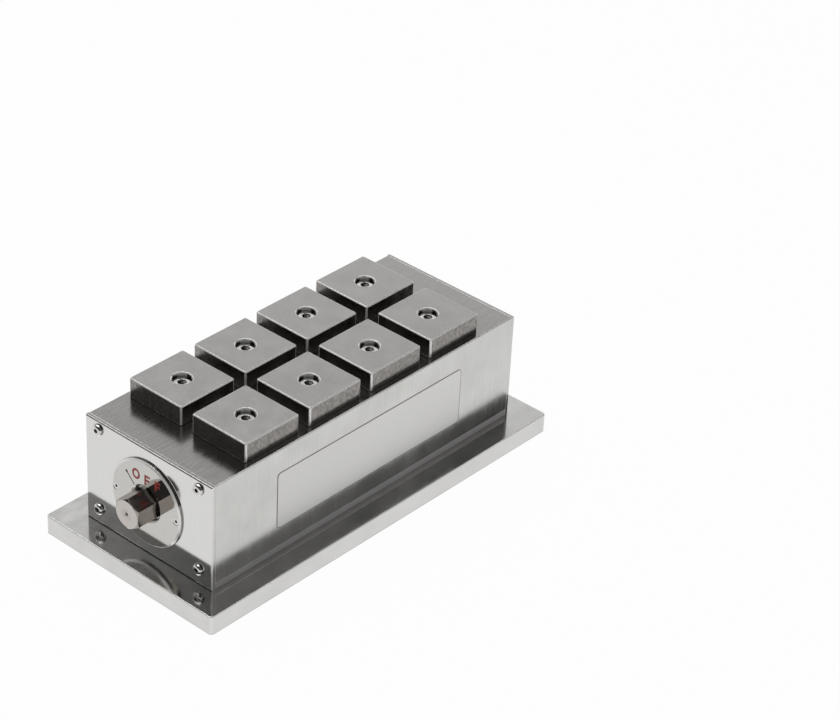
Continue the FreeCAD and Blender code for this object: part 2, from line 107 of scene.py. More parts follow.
class ChuckDial(bpy.types.PropertyGroup):
    """Marks on the dial."""

    letter_height: length_property("Letter height", "Height of OFF", 7.8 * MM)
    letter_base: length_property("Letter base", "Height of the letters' foot above the axis", 15.5 * MM)
    letter_colour: colour_property("Letter colour", "Red of the letters", (0.36, 0.035, 0.025))
    stroke: length_property("Stroke", "Width of the letters' strokes", 1.7 * MM)
    mark_depth: length_property("Paint thickness", "How far paint stands on the dial", 0.04 * MM)
    mark_inner: length_property("Mark start", "Radius where an index line starts", 14.7 * MM)
    mark_outer: length_property("Mark end", "Radius of the dot that ends an index line", 25.2 * MM)
    mark_width: length_property("Mark width", "Width of an index line", 0.85 * MM)
    dot_radius: length_property("Dot radius", "Radius of an index dot", 1.0 * MM)
    mark_angle: angle_property("Mark angle", "Each index line from the top", 45.0)
    mark_colour: colour_property("Mark colour", "Black of the index lines", (0.012, 0.011, 0.01))


class ChuckLabel(bpy.types.PropertyGroup):
    """Bare plate on the long side."""

    length: length_property("Length", "Length of the plate", 183.5 * MM)
    height: length_property("Height", "Height of the plate", 44.5 * MM)
    centre_x: FloatProperty(
        name="Middle", description="Place of the plate along the body", default=2.0 * MM, unit="LENGTH"
    )
    centre_z: length_property("Level", "Height of the plate's middle", 57.2 * MM)
    corner: length_property("Corner radius", "Radius of the plate's corners", 3.0 * MM)
    thickness: length_property("Thickness", "Thickness of the plate", 0.25 * MM)
    # Painted shadow: width and colour of the dark ring round the plate's edge
    border: length_property("Border", "Width of the dark line round the plate", 0.3 * MM)
    metal: colour_property("Metal", "Satin metal of the plate", (0.72, 0.715, 0.7))
    line: colour_property("Border colour", "Dark line round the plate", (0.03, 0.03, 0.03))


class ChuckStage(bpy.types.PropertyGroup):
    """Studio and camera."""

    floor: colour_property("Floor", "Pale floor", (0.92, 0.92, 0.92))
    floor_glow: level_property("Floor whiteness", "Share of the floor shown plain white", 0.97, max=1)
    ahead: level_property("Wall ahead", "Brightness behind the object", 0.92)
    left_wall: level_property("Left wall", "Brightness left of the object", 0.4)
    right_wall: level_property("Right wall", "Brightness right of the object", 0.6)
    near_wall: level_property("Near wall", "Brightness behind the viewer", 0.07)
    dark: level_property("Dark screens", "Brightness of the two dark screens", 0.02)
    ceiling: level_property("Ceiling", "Brightness of the soft light overhead", 2.2)
    ceiling_azimuth: angle_property("Ceiling azimuth", "Where the soft light overhead is centred", 60)
    ceiling_elevation: angle_property("Ceiling elevation", "Height of the soft light's centre", 70)
    ceiling_spread: angle_property("Ceiling spread", "Radius of the soft light overhead", 31)
    daylight: level_property("Daylight", "Plain light on matt surfaces", 0.5)
    key: level_property("Key light", "Power of the soft key", 5.0, unit="POWER")
    lens: FloatProperty(name="Lens", description="Focal length", default=121.05, unit="CAMERA")
    azimuth: angle_property("Azimuth", "Camera's turn about the vertical", -49.777)
    elevation: angle_property("Elevation", "Camera's height above the horizon", 32.795)
    roll: angle_property("Roll", "Camera's roll", 3.084)
    location: FloatVectorProperty(
        name="Location", description="Camera's place", default=(-1.1912, -1.10858, 1.15298),
        subtype="TRANSLATION", size=3,
    )


# --- Node tree helpers ---------------------------------------------------------

def add_node(tree, kind, inputs=None, **settings):
    """One node; each input takes a value or another node's output socket."""
    made = tree.nodes.new(kind)
    for name, value in settings.items():
        setattr(made, name, value)
    for key, value in (inputs or {}).items():
        if isinstance(value, bpy.types.NodeSocket):
            tree.links.new(value, made.inputs[key])
        else:
            made.inputs[key].default_value = value
    return made


def maths(tree, operation, *values):
    """Output of a Math node, in a shader or a geometry tree."""
    inputs = dict(enumerate(values))
    return add_node(tree, "ShaderNodeMath", inputs, operation=operation).outputs[0]


def remap(tree, value, low, high, to_low=0.0, to_high=1.0, smooth=False):
    """Value taken from one range to another, held at its ends."""
    inputs = {"Value": value, "From Min": low, "From Max": high, "To Min": to_low, "To Max": to_high}
    kind = "SMOOTHSTEP" if smooth else "LINEAR"
    return add_node(tree, "ShaderNodeMapRange", inputs, interpolation_type=kind).outputs["Result"]


def contrasted(tree, value, to_low=0.0, to_high=1.0):
    """Noise stretched over a range."""
    return remap(tree, value, NOISE_LOW, NOISE_HIGH, to_low, to_high)


def without(tree, share, mask):
    """Share taken away where a mask is one."""
    return maths(tree, "SUBTRACT", share, maths(tree, "MULTIPLY", share, mask))


def shades(colour, spread):
    """Darker and lighter shade of a colour."""
    return [c * (1 - spread) for c in colour], [min(1, c * (1 + spread)) for c in colour]


def grey(level):
    """Neutral colour."""
    return (level, level, level)


def mixed(tree, share, first, second):
    """Colour between two colours."""
    mix = add_node(tree, "ShaderNodeMix", {"Factor": share}, data_type="RGBA")
    for index, value in ((6, first), (7, second)):
        if isinstance(value, bpy.types.NodeSocket):
            tree.links.new(value, mix.inputs[index])
        else:
            mix.inputs[index].default_value = (*value, 1)
    return mix.outputs[2]


def noise(tree, stretch, detail=3.0, roughness=0.55, distortion=0.0, offset=(0, 0, 0)):
    """Noise on object coordinates; stretch is features per metre along each axis."""
    place = add_node(tree, "ShaderNodeTexCoord").outputs["Object"]
    scaled = add_node(
        tree, "ShaderNodeMapping", {"Vector": place, "Scale": stretch, "Location": offset}
    ).outputs["Vector"]
    inputs = {
        "Vector": scaled, "Scale": 1.0, "Detail": detail, "Roughness": roughness,
        "Distortion": distortion,
    }
    return add_node(tree, "ShaderNodeTexNoise", inputs).outputs["Fac"]


def facing(tree, direction, low=0.85, high=0.97):
    """Mask of the faces that look in a direction of the piece's own."""
    normal = add_node(tree, "ShaderNodeTexCoord").outputs["Normal"]
    toward = add_node(tree, "ShaderNodeVectorMath", {0: normal, 1: direction}, operation="DOT_PRODUCT")
    return remap(tree, toward.outputs["Value"], low, high)


def chamfers(tree):
    """Mask of the sloped faces between the square faces of a block."""
    normal = add_node(tree, "ShaderNodeTexCoord").outputs["Normal"]
    size = add_node(tree, "ShaderNodeVectorMath", {0: normal}, operation="ABSOLUTE").outputs["Vector"]
    parts = add_node(tree, "ShaderNodeSeparateXYZ", {"Vector": size}).outputs
    largest = maths(tree, "MAXIMUM", parts["X"], maths(tree, "MAXIMUM", parts["Y"], parts["Z"]))
    return remap(tree, largest, 0.985, 0.93)


def softened(tree, radius):
    """Normal that is rounded off along the edges."""
    bevel = add_node(tree, "ShaderNodeBevel", {"Radius": radius}, samples=RAY_SAMPLES)
    return bevel.outputs["Normal"]


def broken_edges(tree, radius, square):
    """Mask of the narrow band along each edge, with the chamfers of a square piece."""
    soft = softened(tree, radius)
    plain = add_node(tree, "ShaderNodeNewGeometry").outputs["Normal"]
    alike = add_node(tree, "ShaderNodeVectorMath", {0: soft, 1: plain}, operation="DOT_PRODUCT")
    band = remap(tree, alike.outputs["Value"], 0.995, 0.9)
    return maths(tree, "MAXIMUM", band, chamfers(tree)) if square else band


def painted_recess_shade(tree, reach, least):
    """Painted shade: one in the open, falling to a least value in sockets, recesses and joints."""
    test = add_node(tree, "ShaderNodeAmbientOcclusion", {"Distance": reach}, samples=RAY_SAMPLES)
    return remap(tree, test.outputs["AO"], 0.25, 0.8, least, 1.0)


def darkened(tree, colour, share):
    """Colour scaled by a value."""
    scaled = add_node(tree, "ShaderNodeVectorMath", {0: colour}, operation="SCALE")
    tree.links.new(share, scaled.inputs["Scale"])
    return scaled.outputs["Vector"]


def bumped(tree, height, distance, radius):
    """Normal with a fine relief over softly rounded edges."""
    soft = softened(tree, radius)
    inputs = {"Height": height, "Distance": distance, "Strength": 1.0, "Normal": soft}
    return add_node(tree, "ShaderNodeBump", inputs).outputs["Normal"]


def surface(name, inputs, shader="ShaderNodeBsdfPrincipled"):
    """Material and its tree, whose shader gets plain inputs at once and linked ones later."""
    material = bpy.data.materials.new(name)
    material.use_nodes = True
    tree = material.node_tree
    tree.nodes.clear()
    made = add_node(tree, shader, inputs)
    add_node(tree, "ShaderNodeOutputMaterial", {"Surface": made.outputs[0]})
    return material, tree, made


def join(tree, shader, **sockets):
    """Link outputs to a shader's inputs."""
    for name, value in sockets.items():
        tree.links.new(value, shader.inputs[name.replace("_", " ")])


def started_metal(
    name, colour, grain, roughness=(0.14, 0.24), depth=1.5e-6, spread=0.08, edge=0.5 * MM, patches=40,
    square=True, worn=0.85, metallic=1.0,
):
    """Grain, soft patches and edge mask of a metal, for finished_metal to put together."""
    material, tree, shader = surface(name, {"Metallic": metallic})
    lines = noise(tree, grain, detail=4.0, roughness=0.6)
    cloud = noise(tree, (patches, patches, patches), detail=2.0, offset=(3, 5, 7))
    tone = maths(tree, "MULTIPLY_ADD", lines, 0.5, maths(tree, "MULTIPLY", cloud, 0.5))
    body = mixed(tree, contrasted(tree, tone), *shades(colour, spread))
    rough = contrasted(tree, tone, *roughness)
    # Edge mask: pale painted highlight in colour, and duller wear in roughness and metallic
    edges = maths(tree, "MULTIPLY", broken_edges(tree, edge, square), worn)
    join(tree, shader, Normal=bumped(tree, lines, depth, edge))
    return material, tree, shader, body, rough, edges


def finished_metal(tree, shader, body, rough, edges, recess_shade):
    """Colour and roughness of a metal: a painted highlight and duller wear at its edges, painted shade
    in its recesses.

    The last argument is the reach of the painted shade and the share of light left in the deepest
    places."""
    edge_roughness, edge_metallic_loss = 0.3, 0.55
    # Painted highlight: the edges take the pale edge colour
    bright = mixed(tree, edges, body, bpy.context.scene.chuck_finishes.worn_edge)
    duller = maths(tree, "MULTIPLY", edges, maths(tree, "SUBTRACT", edge_roughness, rough))
    metallic = shader.inputs["Metallic"].default_value
    # Painted shade: the base colour is darkened in sockets, recesses and joints
    join(
        tree, shader, Base_Color=darkened(tree, bright, painted_recess_shade(tree, *recess_shade)),
        Roughness=maths(tree, "ADD", rough, duller),
        Metallic=maths(tree, "MULTIPLY_ADD", edges, -edge_metallic_loss, metallic),
    )


def grained_metal(name, colour, grain, recess_shade=(2.5 * MM, 0.4), **settings):
    """Ground or machined metal with one finish all over."""
    material, tree, shader, body, rough, edges = started_metal(name, colour, grain, **settings)
    finished_metal(tree, shader, body, rough, edges, recess_shade)
    return material


def dress(nodes, material):
    """Give CAD nodes a material."""
    for name in nodes:
        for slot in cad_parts[name].material_slots:
            slot.material = material


def named(prefix):
    """CAD nodes whose name starts so."""
    return sorted(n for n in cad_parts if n.startswith(prefix))


# --- Meshes --------------------------------------------------------------------

def mesh_piece(name, mesh, material, body=CHUCK):
    """Object for a finished mesh, riding on a body."""
    piece = bpy.data.objects.new(name, mesh)
    bpy.context.scene.collection.objects.link(piece)
    mesh.materials.clear()
    mesh.materials.append(material)
    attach(piece, body)
    return piece


def arc(centre, radius, start, end, steps):
    """Points of an arc in a plane, ends included; angles in degrees."""
    angles = [math.radians(start + (end - start) * i / steps) for i in range(steps + 1)]
    return [(centre[0] + radius * math.cos(a), centre[1] + radius * math.sin(a)) for a in angles]


def rounded_rectangle(width, height, corner, steps=10):
    """Outline of a rectangle with round corners, centred on the origin."""
    x, y = width / 2 - corner, height / 2 - corner
    outline = []
    for quarter, (sx, sy) in enumerate(((1, 1), (-1, 1), (-1, -1), (1, -1))):
        outline += arc((sx * x, sy * y), corner, 90 * quarter, 90 * quarter + 90, steps)
    return outline


def extruded(outlines, depth, place):
    """Closed slab from flat outlines, the first being its outside and the others its holes.

    place takes a point's across, up and outward distances to the chuck's frame."""
    mesh = bmesh.new()
    rings = []
    for outline in outlines:
        back = [mesh.verts.new((a, b, 0)) for a, b in outline]
        front = [mesh.verts.new((a, b, depth)) for a, b in outline]
        rings.append((back, front))
    for back, front in rings:
        for side in zip(back, back[1:] + back[:1], front[1:] + front[:1], front):
            mesh.faces.new(side)
    for level in (0, 1):
        edges = []
        for ring in rings:
            verts = ring[level]
            edges += [mesh.edges.get(pair) for pair in zip(verts, verts[1:] + verts[:1])]
        bmesh.ops.triangle_fill(mesh, edges=edges, use_beauty=True, use_dissolve=False)
    for vert in mesh.verts:
        vert.co = place(*vert.co)
    bmesh.ops.recalc_face_normals(mesh, faces=mesh.faces)
    made = bpy.data.meshes.new("slab")
    mesh.to_mesh(made)
    mesh.free()
    return made


def on_dial(across, up, out):
    """Point on the dial: across to the viewer's right, up from the axis, out from its face."""
    return Vector((DIAL_LOW.x - out, -across, AXIS_HEIGHT + up))


def on_side(across, up, out):
    """Point on the long side with the plate."""
    return Vector((across, HOUSING_LOW.y - out, up))


# --- Operators: metals ---------------------------------------------------------

class CHUCK_OT_body_steel(bpy.types.Operator):
    """Streaked ground sides, satin top and finely ground ends of the housing and its covers"""

    bl_idname = "chuck.body_steel"
    bl_label = "Body steel"

    def execute(self, context):
        finish = context.scene.chuck_finishes
        material, tree, shader, body, rough, edges = started_metal(
            "ground_steel", finish.ground_steel, (1300, 1300, 14), roughness=(0.14, 0.24), spread=0.12,
            edge=0.6 * MM,
        )
        top = facing(tree, (0, 0, 1))
        satin = noise(tree, (90, 700, 90), detail=3.0)
        plate = mixed(tree, contrasted(tree, satin), *shades(finish.top_steel, 0.05))
        end = maths(tree, "MAXIMUM", facing(tree, (-1, 0, 0)), facing(tree, (1, 0, 0)))
        fine = noise(tree, (500, 1100, 25), detail=3.0)
        cover = mixed(tree, contrasted(tree, fine), *shades(finish.cover_steel, 0.02))
        colour = mixed(tree, top, mixed(tree, end, body, cover), plate)
        end_change = maths(tree, "SUBTRACT", contrasted(tree, fine, 0.07, 0.11), rough)
        top_change = maths(tree, "SUBTRACT", contrasted(tree, satin, 0.15, 0.2), rough)
        polished = maths(tree, "MULTIPLY_ADD", end_change, end, rough)
        all_rough = maths(tree, "MULTIPLY_ADD", top_change, top, polished)
        # The edge mask (pale painted highlight and wear) is kept off the front chamfer and the end
        # faces
        end_slope = facing(tree, (-0.707, 0, 0.707), 0.9, 0.98)
        lines = without(tree, without(tree, edges, end_slope), end)
        finished_metal(tree, shader, colour, all_rough, lines, (2 * MM, 0.5))
        dress(("housing", "front_cover", "rear_cover"), material)
        return {"FINISHED"}


class CHUCK_OT_base_steel(bpy.types.Operator):
    """Flanged base plate, wiped on its ledges, and the bottom plate above it"""

    bl_idname = "chuck.base_steel"
    bl_label = "Base steel"

    def execute(self, context):
        finish = context.scene.chuck_finishes
        material, tree, shader, body, rough, edges = started_metal(
            "base_steel", finish.base_steel, (50, 50, 1200), roughness=(0.07, 0.13), spread=0.07,
        )
        ledge = facing(tree, (0, 0, 1))
        wiped = noise(tree, (45, 75, 45), detail=5.0, roughness=0.65, distortion=1.4)
        smear = maths(tree, "MULTIPLY", remap(tree, wiped, 0.4, 0.62), ledge)
        film_colour, film_share, film_roughness = (0.42, 0.41, 0.4), 0.3, 0.06
        cloudy = mixed(tree, maths(tree, "MULTIPLY", smear, film_share), body, film_colour)
        duller = maths(tree, "MULTIPLY_ADD", smear, film_roughness, rough)
        finished_metal(tree, shader, cloudy, duller, edges, (3 * MM, 0.6))
        dress(("base_plate",), material)
        strip = grained_metal(
            "strip_steel", finish.strip_steel, (40, 40, 1500), roughness=(0.5, 0.6), edge=0.2 * MM,
            metallic=0.3, recess_shade=(2 * MM, 0.75), worn=0.3,
        )
        dress(("bottom_plate",), strip)
        return {"FINISHED"}


class CHUCK_OT_pole_iron(bpy.types.Operator):
    """Ground tops and darker, mottled sides of the pole blocks"""

    bl_idname = "chuck.pole_iron"
    bl_label = "Pole blocks"

    def execute(self, context):
        finish = context.scene.chuck_finishes
        material, tree, shader, body, rough, edges = started_metal(
            "pole_iron", finish.pole_top, (350, 900, 350), roughness=(0.2, 0.27), edge=0.55 * MM,
            spread=0.05, patches=60, depth=8e-7,
        )
        top = facing(tree, (0, 0, 1))
        mottle = noise(tree, (700, 700, 420), detail=4.0, roughness=0.7)
        flank = mixed(tree, remap(tree, mottle, 0.38, 0.62), *shades(finish.pole_side, 0.3))
        finished_metal(
            tree, shader, mixed(tree, top, flank, body), rough, edges, (3 * MM, 0.35)
        )
        dress(named("pole_block_"), material)
        return {"FINISHED"}


class CHUCK_OT_drive(bpy.types.Operator):
    """Polished dial and the turned drive hexagon"""

    bl_idname = "chuck.drive"
    bl_label = "Dial and drive"

    def execute(self, context):
        finish = context.scene.chuck_finishes
        material, tree, shader, body, rough, edges = started_metal(
            "dial_metal", finish.dial_metal, (260, 260, 260), roughness=(0.06, 0.11), spread=0.03,
            depth=3e-7, edge=0.3 * MM, square=False,
        )
        # The bevelled rim joins the edge mask, so it gets the pale painted highlight and the duller
        # wear
        outward_share = facing(tree, (-1, 0, 0), 0.2, 0.4)
        bevel = maths(tree, "SUBTRACT", outward_share, facing(tree, (-1, 0, 0), 0.8, 0.95))
        finished_metal(tree, shader, body, rough, maths(tree, "MAXIMUM", edges, bevel), (3 * MM, 0.1))
        dress(("dial_plate",), material)
        material, tree, shader, body, rough, edges = started_metal(
            "shaft_steel", finish.shaft_steel, (70, 700, 700), roughness=(0.13, 0.22), edge=0.3 * MM,
            spread=0.14, square=False,
        )
        place = add_node(tree, "ShaderNodeTexCoord").outputs["Object"]
        centred = add_node(
            tree, "ShaderNodeMapping", {"Vector": place, "Location": (0, 0, -AXIS_HEIGHT)}
        ).outputs["Vector"]
        split = add_node(tree, "ShaderNodeSeparateXYZ", {"Vector": centred}).outputs
        flat = add_node(tree, "ShaderNodeCombineXYZ", {"X": 0.0, "Y": split["Y"], "Z": split["Z"]})
        radius = add_node(
            tree, "ShaderNodeVectorMath", {0: flat.outputs["Vector"]}, operation="LENGTH"
        ).outputs["Value"]
        ring_pitch = 0.35 * MM
        rings = maths(tree, "SINE", maths(tree, "MULTIPLY", radius, 2 * math.pi / ring_pitch))
        end = facing(tree, (-1, 0, 0), 0.9, 0.98)
        turned = maths(tree, "MULTIPLY", rings, maths(tree, "MULTIPLY", end, 0.5))
        height = maths(tree, "ADD", turned, noise(tree, (90, 900, 900)))
        pale = mixed(tree, end, body, finish.shaft_end)
        cloud = noise(tree, (260, 260, 260), detail=3.0, distortion=0.8)
        near_middle = maths(tree, "MULTIPLY", remap(tree, radius, 5.5 * MM, 1.5 * MM), end)
        stain = maths(tree, "MULTIPLY", near_middle, remap(tree, cloud, 0.4, 0.6))
        stain_colour, stain_share = (0.3, 0.26, 0.24), 0.75
        marked = mixed(tree, maths(tree, "MULTIPLY", stain, stain_share), pale, stain_colour)
        finished_metal(tree, shader, marked, rough, edges, (2 * MM, 0.35))
        join(tree, shader, Normal=bumped(tree, height, 1.2e-6, 0.3 * MM))
        dress(("drive_shaft", "tail_shaft", "stop_pin"), material)
        return {"FINISHED"}


class CHUCK_OT_screws(bpy.types.Operator):
    """Bright steel of the screws, with painted shade darkening their sockets"""

    bl_idname = "chuck.screws"
    bl_label = "Screws"

    def execute(self, context):
        finish = context.scene.chuck_finishes
        screws = grained_metal(
            "screw_steel", finish.screw_steel, (700, 700, 700), roughness=(0.06, 0.14), spread=0.08,
            edge=0.2 * MM, patches=200, square=False, recess_shade=(3 * MM, 0.06), worn=0.7,
        )
        dress([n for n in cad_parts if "screws" in n], screws)
        return {"FINISHED"}


class CHUCK_OT_inner_parts(bpy.types.Operator):
    """Iron, brass, bronze, magnets and seal inside the housing"""

    bl_idname = "chuck.inner_parts"
    bl_label = "Inner parts"

    def execute(self, context):
        grain = (900, 60, 900)
        washers_and_bearings = [
            f"{end}_{piece}" for end in ("front", "rear") for piece in ("bearing", "thrust_washer")
        ]
        metals = (
            ("inner_iron", (0.34, 0.33, 0.32), (0.3, 0.45),
             named("pole_core_") + named("pole_shoe_") + named("rotor_segment_")),
            ("brass", (0.72, 0.53, 0.24), (0.2, 0.35), named("separator_")),
            ("bronze", (0.6, 0.38, 0.2), (0.2, 0.35), washers_and_bearings),
            ("magnet_plating", (0.68, 0.66, 0.62), (0.12, 0.25), named("rotor_magnet_")),
        )
        for name, colour, roughness, nodes in metals:
            dress(nodes, grained_metal(name, colour, grain, roughness=roughness))
        rubber, tree, shader = surface("seal_rubber", {"Metallic": 0.0})
        texture = noise(tree, (600, 600, 600), detail=3.0)
        join(
            tree, shader,
            Base_Color=mixed(tree, texture, (0.012, 0.012, 0.012), (0.03, 0.029, 0.028)),
            Roughness=contrasted(tree, texture, 0.45, 0.65),
            Normal=bumped(tree, texture, 4e-6, 0.1 * MM),
        )
        dress(("shaft_seal",), rubber)
        return {"FINISHED"}


# --- Operators: marks and plate ------------------------------------------------

def paint(name, colour, roughness):
    """Fine-grained paint or print."""
    material, tree, shader = surface(name, {"Metallic": 0.0})
    grain = noise(tree, (1800, 1800, 1800), detail=3.0)
    join(
        tree, shader,
        Base_Color=mixed(tree, contrasted(tree, grain), [c * 0.8 for c in colour], colour),
        Roughness=contrasted(tree, grain, roughness, roughness + 0.15),
        Normal=bumped(tree, grain, 2e-6, 0.05 * MM),
    )
    return material


def letter_o(height, stroke):
    """Outer and inner outlines of a round letter, centred across, on its foot."""
    half = height / 2
    outlines = []
    sides = 48
    circle = arc((0, 0), 1, 0, 360 - 360 / sides, sides - 1)
    for inset in (0, stroke):
        wide, tall = 0.47 * height - inset, 1.05 * half - inset
        outlines.append([(a * wide, half + b * tall) for a, b in circle])
    return outlines


def letter_f(height, stroke):
    """Outline of an F, centred across, on its foot."""
    left, right = -0.33 * height, 0.34 * height
    stem = left + stroke
    arm, middle = right - 0.08 * height, 0.5 * height
    return [[
        (left, 0), (stem, 0), (stem, middle - stroke / 2), (arm, middle - stroke / 2),
        (arm, middle + stroke / 2), (stem, middle + stroke / 2), (stem, height - stroke),
        (right, height - stroke), (right, height), (left, height),
    ]]


class CHUCK_OT_dial_letters(bpy.types.Operator):
    """Red OFF painted above the drive"""

    bl_idname = "chuck.dial_letters"
    bl_label = "Dial letters"

    def execute(self, context):
        dial = context.scene.chuck_dial
        red = paint("letter_red", dial.letter_colour, 0.35)
        size = dial.letter_height
        # Name, outline, and place across and up, in letter heights
        letters = (
            ("o", letter_o, -1.12, 0.08), ("first_f", letter_f, 0.23, 0.0),
            ("second_f", letter_f, 1.47, -0.04),
        )
        for name, outline, across, lift in letters:
            mesh = extruded(
                outline(size, dial.stroke), dial.mark_depth,
                lambda a, b, out, across=across, lift=lift: on_dial(
                    a + across * size, b + lift * size + dial.letter_base, out
                ),
            )
            mesh_piece(f"dial_letter_{name}", mesh, red)
        return {"FINISHED"}


def geometry_tree(name, inputs):
    """Geometry node tree with named inputs; gives the tree, those inputs and where its result goes."""
    tree = bpy.data.node_groups.new(name, "GeometryNodeTree")
    tree.interface.new_socket("Geometry", in_out="OUTPUT", socket_type="NodeSocketGeometry")
    for label, kind in inputs:
        tree.interface.new_socket(label, in_out="INPUT", socket_type=kind)
    start = tree.nodes.new("NodeGroupInput")
    end = tree.nodes.new("NodeGroupOutput")
    return tree, start.outputs, end.inputs["Geometry"]


def from_nodes(name, tree, values):
    """Plain mesh that a geometry tree makes with the given named inputs."""
    carrier = bpy.data.objects.new(name, bpy.data.meshes.new(name))
    bpy.context.scene.collection.objects.link(carrier)
    modifier = carrier.modifiers.new(name, "NODES")
    modifier.node_group = tree
    for item in tree.interface.items_tree:
        if item.in_out == "INPUT":
            modifier[item.identifier] = values[item.name]
    graph = bpy.context.evaluated_depsgraph_get()
    mesh = bpy.data.meshes.new_from_object(carrier.evaluated_get(graph))
    bpy.data.objects.remove(carrier)
    return mesh


class CHUCK_OT_index_marks(bpy.types.Operator):
    """Black index lines, each ended by a dot, a quarter turn apart"""

    bl_idname = "chuck.index_marks"
    bl_label = "Index marks"

    def execute(self, context):
        dial = context.scene.chuck_dial
        black = paint("index_black", dial.mark_colour, 0.3)
        number = "NodeSocketFloat"
        tree, given, finished = geometry_tree("index_marks", [
            ("Start radius", number), ("Dot circle", number), ("Width", number), ("Dot radius", number),
            ("Thickness", number), ("Turn", number), ("Marks", "NodeSocketInt"),
            ("Paint", "NodeSocketMaterial"),
        ])
        reach = maths(tree, "SUBTRACT", given["Dot circle"], given["Start radius"])
        middle = maths(tree, "MULTIPLY_ADD", reach, 0.5, given["Start radius"])
        half_depth = maths(tree, "MULTIPLY", given["Thickness"], 0.5)
        size = add_node(
            tree, "ShaderNodeCombineXYZ", {"X": given["Width"], "Y": reach, "Z": given["Thickness"]}
        )
        bar = add_node(tree, "GeometryNodeMeshCube", {"Size": size.outputs[0]})
        bar_place = add_node(tree, "ShaderNodeCombineXYZ", {"Y": middle, "Z": half_depth})
        bar_moved = add_node(
            tree, "GeometryNodeTransform",
            {"Geometry": bar.outputs["Mesh"], "Translation": bar_place.outputs[0]},
        )
        dot = add_node(
            tree, "GeometryNodeMeshCylinder",
            {"Vertices": 32, "Radius": given["Dot radius"], "Depth": given["Thickness"]},
        )
        dot_place = add_node(tree, "ShaderNodeCombineXYZ", {"Y": given["Dot circle"], "Z": half_depth})
        dot_moved = add_node(
            tree, "GeometryNodeTransform",
            {"Geometry": dot.outputs["Mesh"], "Translation": dot_place.outputs[0]},
        )
        mark = tree.nodes.new("GeometryNodeJoinGeometry")
        tree.links.new(bar_moved.outputs[0], mark.inputs[0])
        tree.links.new(dot_moved.outputs[0], mark.inputs[0])
        points = add_node(tree, "GeometryNodePoints", {"Count": given["Marks"]})
        index = add_node(tree, "GeometryNodeInputIndex").outputs[0]
        step = maths(tree, "MULTIPLY", given["Turn"], -2.0)
        turn = maths(tree, "MULTIPLY_ADD", index, step, given["Turn"])
        rotation = add_node(tree, "ShaderNodeCombineXYZ", {"Z": turn})
        copies = add_node(
            tree, "GeometryNodeInstanceOnPoints",
            {"Points": points.outputs[0], "Instance": mark.outputs[0]},
        )
        turned = add_node(
            tree, "GeometryNodeRotateInstances",
            {"Instances": copies.outputs[0], "Rotation": rotation.outputs[0], "Local Space": False,
             "Pivot Point": (0, 0, 0)},
        )
        real = add_node(tree, "GeometryNodeRealizeInstances", {"Geometry": turned.outputs[0]})
        painted = add_node(
            tree, "GeometryNodeSetMaterial", {"Geometry": real.outputs[0], "Material": given["Paint"]}
        )
        tree.links.new(painted.outputs[0], finished)
        mesh = from_nodes("index_marks", tree, {
            "Start radius": dial.mark_inner, "Dot circle": dial.mark_outer, "Width": dial.mark_width,
            "Dot radius": dial.dot_radius, "Thickness": dial.mark_depth, "Turn": dial.mark_angle,
            "Marks": 2, "Paint": black,
        })
        for vertex in mesh.vertices:
            vertex.co = on_dial(*vertex.co)
        mesh_piece("dial_index_marks", outward(mesh), black)
        return {"FINISHED"}


def outward(mesh):
    """The mesh with its faces made to look outwards."""
    work = bmesh.new()
    work.from_mesh(mesh)
    bmesh.ops.recalc_face_normals(work, faces=work.faces)
    work.to_mesh(mesh)
    work.free()
    return mesh


class CHUCK_OT_side_plate(bpy.types.Operator):
    """Bare satin plate on the long side, with a thin dark ring of painted shadow round its edge"""

    bl_idname = "chuck.side_plate"
    bl_label = "Side plate"

    def execute(self, context):
        label = context.scene.chuck_label

        def placed(across, up, out):
            return on_side(across + label.centre_x, up + label.centre_z, out)

        outline = rounded_rectangle(label.length, label.height, label.corner)
        metal = grained_metal(
            "side_plate_metal", label.metal, (900, 900, 30), roughness=(0.4, 0.48), spread=0.02,
            depth=2e-7, edge=0.1 * MM, metallic=0.8, patches=15,
        )
        plate = mesh_piece("side_plate", extruded([outline], label.thickness, placed), metal)
        inner = rounded_rectangle(
            label.length - 2 * label.border, label.height - 2 * label.border,
            label.corner - label.border,
        )
        # Painted shadow: a thin dark ring laid on the plate's edge
        line = paint("painted_edge_shadow", label.line, 0.4)
        shadow_depth, shadow_base = 0.2 * label.thickness, 0.9 * label.thickness
        shadow_ring = extruded([outline, inner], shadow_depth, lambda a, b, out: placed(a, b, out + shadow_base))
        mesh_piece("side_plate_edge_shadow", shadow_ring, line)
        return {"FINISHED"}


# --- Operators: stage ----------------------------------------------------------

class CHUCK_OT_stage(bpy.types.Operator):
    """Pale floor, soft light and the camera"""

    bl_idname = "chuck.stage"
    bl_label = "Stage"

    def execute(self, context):
        stage = context.scene.chuck_stage
        make_floor(stage)
        make_world(stage)
        make_lights(stage)
        make_camera(stage)
        context.scene.view_settings.view_transform = "Standard"
        return {"FINISHED"}


def seen_plainly(tree):
    """One for rays from the camera, mirrors and glass, which see the background as plain white."""
    path = add_node(tree, "ShaderNodeLightPath").outputs
    either = maths(tree, "MAXIMUM", path["Is Camera Ray"], path["Is Glossy Ray"])
    return maths(tree, "MAXIMUM", either, path["Is Transmission Ray"])


